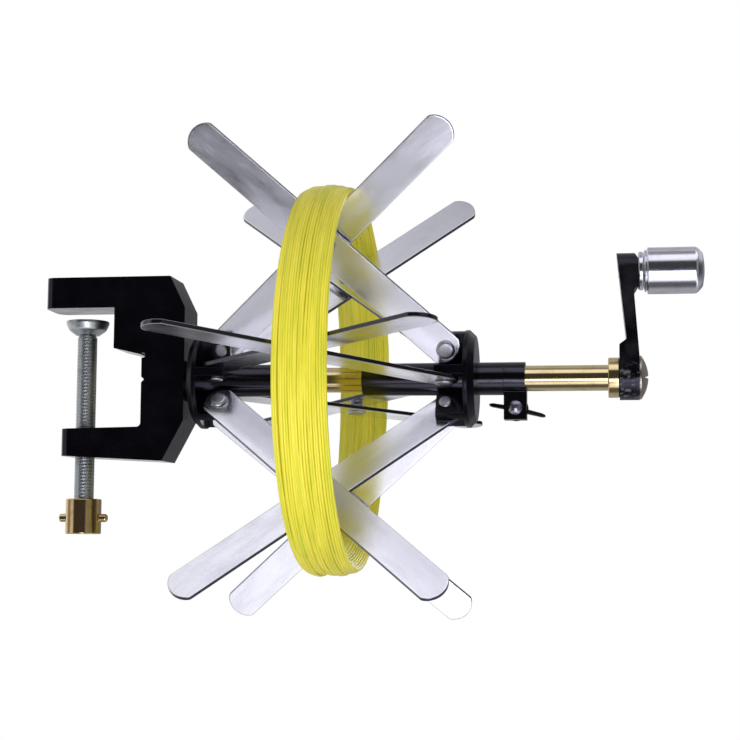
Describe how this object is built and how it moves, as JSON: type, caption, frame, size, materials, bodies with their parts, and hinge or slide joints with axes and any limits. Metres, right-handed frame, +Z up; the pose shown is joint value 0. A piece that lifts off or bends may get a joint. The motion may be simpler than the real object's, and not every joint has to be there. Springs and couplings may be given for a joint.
{
  "type": "fishing line winder",
  "caption": "Table-clamped fishing line winder: folding reel of crossed flat arms on a brass spindle, with hand crank, sliding lock collar and a coil of yellow line.",
  "frame": {"origin": "centre of the upper jaw's rest face, on the axis of the clamp screw", "axes": "+X along the spindle towards the crank, +Z up, away from the table top the clamp grips"},
  "size_m": [0.3151, 0.249, 0.2298],
  "materials": {
    "clamp_black": "black enamel over a cast body, lightly orange-peeled",
    "hub_black": "black anodised, satin",
    "tube_black": "black anodised, satin",
    "crank_black": "black enamel",
    "brass": "turned and polished",
    "bronze": "plain bearing bronze",
    "arm_aluminium": "polished strip with fine handling marks",
    "rivet_steel": "bright rivets",
    "zinc_steel": "zinc-plated steel",
    "black_steel": "blackened steel",
    "yellow_zinc": "yellow-zinc plated screw",
    "chrome": "turned and plated",
    "line_yellow": "fluorescent yellow coated fly line"
  },
  "bodies": {
    "clamp": {"clamp_frame": "clamp_black", "spindle_bush": "bronze", "thrust_washer": "black_steel"},
    "pad": {"clamp_pad": "zinc_steel"},
    "screw": {"clamp_screw": "zinc_steel", "clamp_knob": "brass", "knob_cross_pin": "brass"},
    "rotor": {"spindle": "brass", "retaining_washer": "zinc_steel", "retaining_screw": "zinc_steel", "left_hub": "hub_black", "left_hub_pins": "rivet_steel", "left_tube": "tube_black", "tube_set_screw": "black_steel", "end_flange": "brass", "crank_arm": "crank_black", "crank_screw": "yellow_zinc", "handle_pin": "zinc_steel", "handle_washer": "chrome", "line_coil": "line_yellow"},
    "slider": {"right_hub": "hub_black", "right_hub_pins": "rivet_steel", "slider_tube": "tube_black", "lock_collar": "tube_black", "collar_bolt": "black_steel"},
    "wing_nut": {"wing_nut": "black_steel"},
    "handle_knob": {"handle_knob": "chrome"},
    "left_arm_1": {"left_arm_1": "arm_aluminium", "crossing_rivet_1": "rivet_steel"},
    "right_arm_1": {"right_arm_1": "arm_aluminium"},
    "left_arm_2": {"left_arm_2": "arm_aluminium", "crossing_rivet_2": "rivet_steel"},
    "right_arm_2": {"right_arm_2": "arm_aluminium"},
    "left_arm_3": {"left_arm_3": "arm_aluminium", "crossing_rivet_3": "rivet_steel"},
    "right_arm_3": {"right_arm_3": "arm_aluminium"},
    "left_arm_4": {"left_arm_4": "arm_aluminium", "crossing_rivet_4": "rivet_steel"},
    "right_arm_4": {"right_arm_4": "arm_aluminium"},
    "left_arm_5": {"left_arm_5": "arm_aluminium", "crossing_rivet_5": "rivet_steel"},
    "right_arm_5": {"right_arm_5": "arm_aluminium"},
    "left_arm_6": {"left_arm_6": "arm_aluminium", "crossing_rivet_6": "rivet_steel"},
    "right_arm_6": {"right_arm_6": "arm_aluminium"}
  },
  "joints": [
    {"name": "reel_spin", "type": "hinge", "parent": "clamp", "child": "rotor", "pos_m": [0.052, 0, -0.035], "axis": [1, 0, 0], "continuous": true},
    {"name": "hub_slide", "type": "slide", "parent": "rotor", "child": "slider", "axis": [1, 0, 0], "range_m": [0, 0.0374]},
    {"name": "wing_nut_turn", "type": "hinge", "parent": "slider", "child": "wing_nut", "pos_m": [0.20911, 0.008, -0.0489], "axis": [0, 1, 0], "range_deg": [0, 360]},
    {"name": "handle_knob_spin", "type": "hinge", "parent": "rotor", "child": "handle_knob", "pos_m": [0.26921, 0, 0.015], "axis": [1, 0, 0], "continuous": true},
    {"name": "pad_slide", "type": "slide", "parent": "clamp", "child": "pad", "axis": [0, 0, 1], "range_m": [-0.0381, 0.00476]},
    {"name": "screw_turn", "type": "hinge", "parent": "pad", "child": "screw", "pos_m": [0, 0, -0.0123], "axis": [0, 0, 1], "range_deg": [-8645, 1085]},
    {"name": "left_arm_1_fold", "type": "hinge", "parent": "rotor", "child": "left_arm_1", "pos_m": [0.0691, -0.00651, -0.02038], "axis": [0, 0.9135, 0.4067], "range_deg": [0, 28.2]},
    {"name": "right_arm_1_fold", "type": "hinge", "parent": "slider", "child": "right_arm_1", "pos_m": [0.17721, -0.00651, -0.02038], "axis": [0, -0.9135, -0.4067], "range_deg": [0, 28.2]},
    {"name": "left_arm_2_fold", "type": "hinge", "parent": "rotor", "child": "left_arm_2", "pos_m": [0.0691, -0.01591, -0.03333], "axis": [0, 0.1045, 0.9945], "range_deg": [0, 28.2]},
    {"name": "right_arm_2_fold", "type": "hinge", "parent": "slider", "child": "right_arm_2", "pos_m": [0.17721, -0.01591, -0.03333], "axis": [0, -0.1045, -0.9945], "range_deg": [0, 28.2]},
    {"name": "left_arm_3_fold", "type": "hinge", "parent": "rotor", "child": "left_arm_3", "pos_m": [0.0691, -0.00941, -0.04794], "axis": [0, -0.809, 0.5878], "range_deg": [0, 28.2]},
    {"name": "right_arm_3_fold", "type": "hinge", "parent": "slider", "child": "right_arm_3", "pos_m": [0.17721, -0.00941, -0.04794], "axis": [0, 0.809, -0.5878], "range_deg": [0, 28.2]},
    {"name": "left_arm_4_fold", "type": "hinge", "parent": "rotor", "child": "left_arm_4", "pos_m": [0.0691, 0.00651, -0.04962], "axis": [0, -0.9135, -0.4067], "range_deg": [0, 28.2]},
    {"name": "right_arm_4_fold", "type": "hinge", "parent": "slider", "child": "right_arm_4", "pos_m": [0.17721, 0.00651, -0.04962], "axis": [0, 0.9135, 0.4067], "range_deg": [0, 28.2]},
    {"name": "left_arm_5_fold", "type": "hinge", "parent": "rotor", "child": "left_arm_5", "pos_m": [0.0691, 0.01591, -0.03667], "axis": [0, -0.1045, -0.9945], "range_deg": [0, 28.2]},
    {"name": "right_arm_5_fold", "type": "hinge", "parent": "slider", "child": "right_arm_5", "pos_m": [0.17721, 0.01591, -0.03667], "axis": [0, 0.1045, 0.9945], "range_deg": [0, 28.2]},
    {"name": "left_arm_6_fold", "type": "hinge", "parent": "rotor", "child": "left_arm_6", "pos_m": [0.0691, 0.00941, -0.02206], "axis": [0, 0.809, -0.5878], "range_deg": [0, 28.2]},
    {"name": "right_arm_6_fold", "type": "hinge", "parent": "slider", "child": "right_arm_6", "pos_m": [0.17721, 0.00941, -0.02206], "axis": [0, -0.809, 0.5878], "range_deg": [0, 28.2]}
  ],
  "couplings": [
    {"joint": "screw_turn", "follows": "pad_slide", "rad_per_m": 3957.9},
    {"joint": "left_arm_1_fold", "follows": "hub_slide", "rad_per_m": 13.1},
    {"joint": "right_arm_1_fold", "follows": "hub_slide", "rad_per_m": 13.1},
    {"joint": "left_arm_2_fold", "follows": "hub_slide", "rad_per_m": 13.1},
    {"joint": "right_arm_2_fold", "follows": "hub_slide", "rad_per_m": 13.1},
    {"joint": "left_arm_3_fold", "follows": "hub_slide", "rad_per_m": 13.1},
    {"joint": "right_arm_3_fold", "follows": "hub_slide", "rad_per_m": 13.1},
    {"joint": "left_arm_4_fold", "follows": "hub_slide", "rad_per_m": 13.1},
    {"joint": "right_arm_4_fold", "follows": "hub_slide", "rad_per_m": 13.1},
    {"joint": "left_arm_5_fold", "follows": "hub_slide", "rad_per_m": 13.1},
    {"joint": "right_arm_5_fold", "follows": "hub_slide", "rad_per_m": 13.1},
    {"joint": "left_arm_6_fold", "follows": "hub_slide", "rad_per_m": 13.1},
    {"joint": "right_arm_6_fold", "follows": "hub_slide", "rad_per_m": 13.1}
  ]
}
